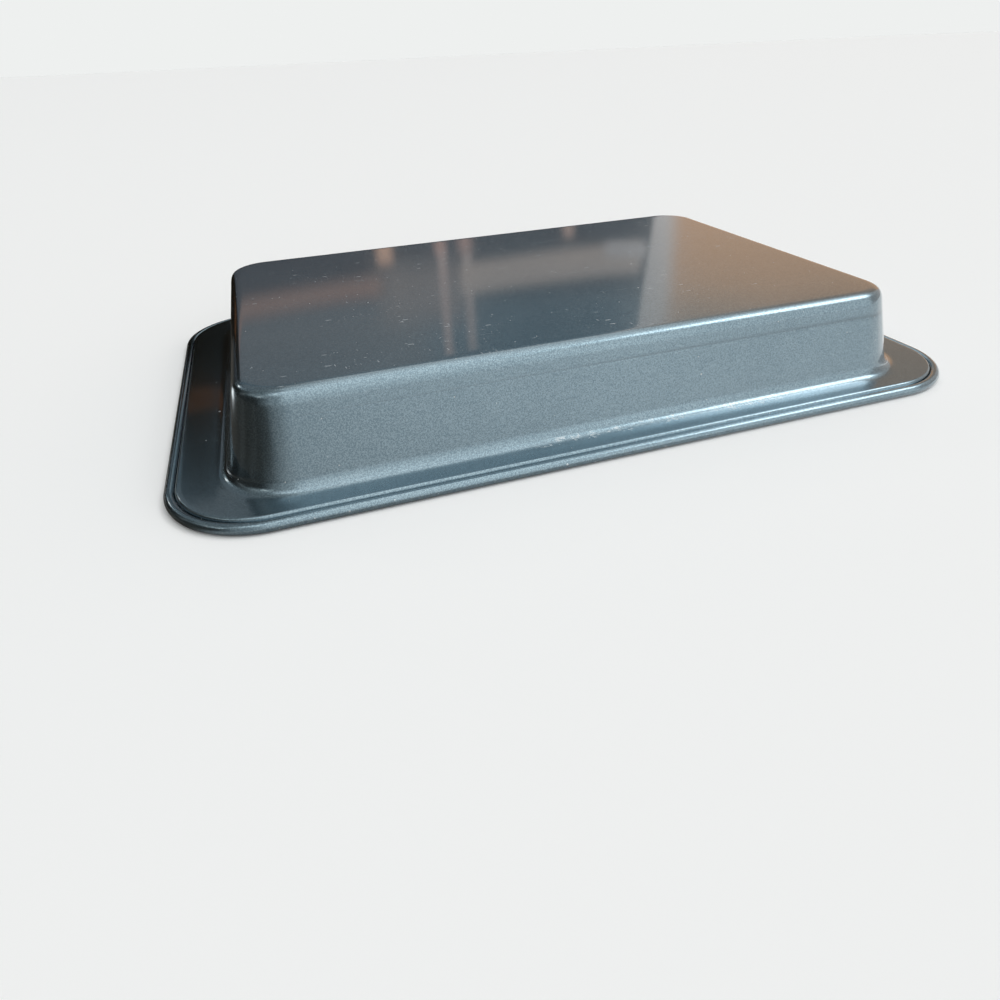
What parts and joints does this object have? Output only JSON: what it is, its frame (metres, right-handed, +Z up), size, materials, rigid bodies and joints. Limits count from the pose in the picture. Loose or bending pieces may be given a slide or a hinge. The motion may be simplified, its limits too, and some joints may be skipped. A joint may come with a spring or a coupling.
{
  "type": "rectangular cake pan",
  "caption": "Shallow rectangular metal cake pan with rounded corners, sloping walls, a flat flange that is wider at the ends, and a rolled rim stiffened by a wire.",
  "frame": {"origin": "on the table, under the middle of the pan, which lies upside down on its rolled rim", "axes": "+X along the long side, +Y along the short side, +Z up, out of the pan's outer base"},
  "size_m": [0.3848, 0.2622, 0.046],
  "materials": {
    "non_stick_coating": "dark blue-grey non-stick coating over steel sheet, satin with fine metallic speckle",
    "bright_steel": "plain drawn steel wire"
  },
  "bodies": {
    "root": {"pan_body": "non_stick_coating", "rim_wire": "bright_steel"}
  },
  "joints": []
}
